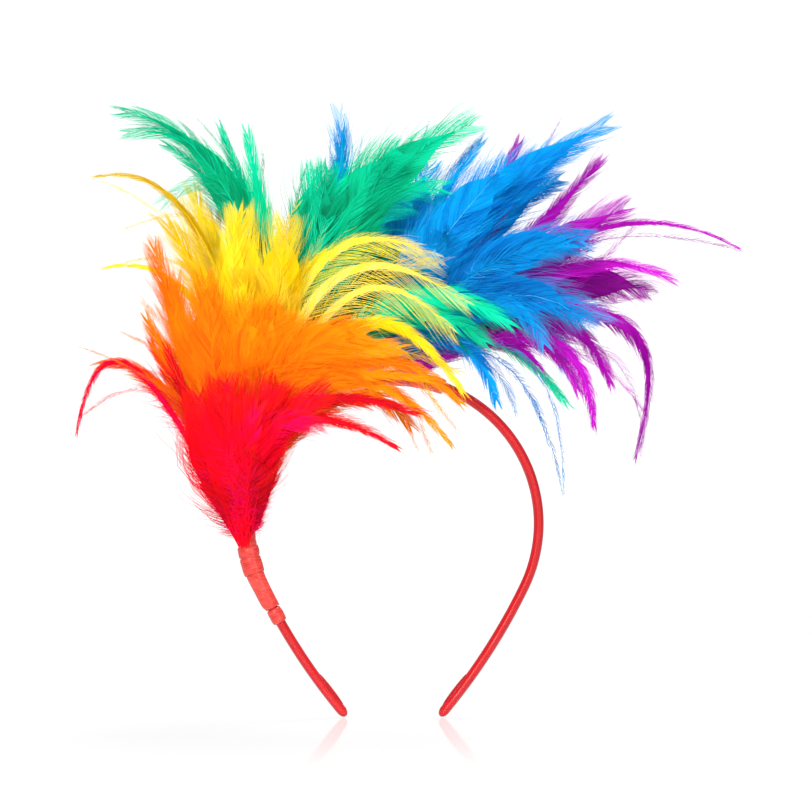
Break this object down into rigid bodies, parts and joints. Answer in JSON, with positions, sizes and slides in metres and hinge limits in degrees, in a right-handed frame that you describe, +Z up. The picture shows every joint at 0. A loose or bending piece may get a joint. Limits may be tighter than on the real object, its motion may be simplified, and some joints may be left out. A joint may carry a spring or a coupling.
{
  "type": "feather headband",
  "caption": "Red satin hair band with a side spray of dyed feather plumes running from red through orange, yellow, green and blue to purple.",
  "frame": {"origin": "on the band's inner face at the crown, in mid depth, where it sits on the head", "axes": "+Z up from the head, +X to the right as seen from the front, and the front faces -Y"},
  "size_m": [0.2879, 0.0828, 0.2618],
  "materials": {
    "satin": "satin",
    "ribbon": "satin",
    "red_feather": "matte",
    "orange_feather": "matte",
    "yellow_feather": "matte",
    "green_feather": "matte",
    "blue_feather": "matte",
    "purple_feather": "matte"
  },
  "bodies": {
    "root": {"band": "satin", "left_end_lap": "satin", "right_end_lap": "satin", "ribbon_sheath": "ribbon", "ribbon_cuff": "ribbon", "binding_turn_1": "ribbon", "binding_turn_2": "ribbon", "red_plume": "red_feather", "orange_plume": "orange_feather", "yellow_plume": "yellow_feather", "green_plume": "green_feather", "blue_plume": "blue_feather", "purple_plume": "purple_feather"}
  },
  "joints": []
}
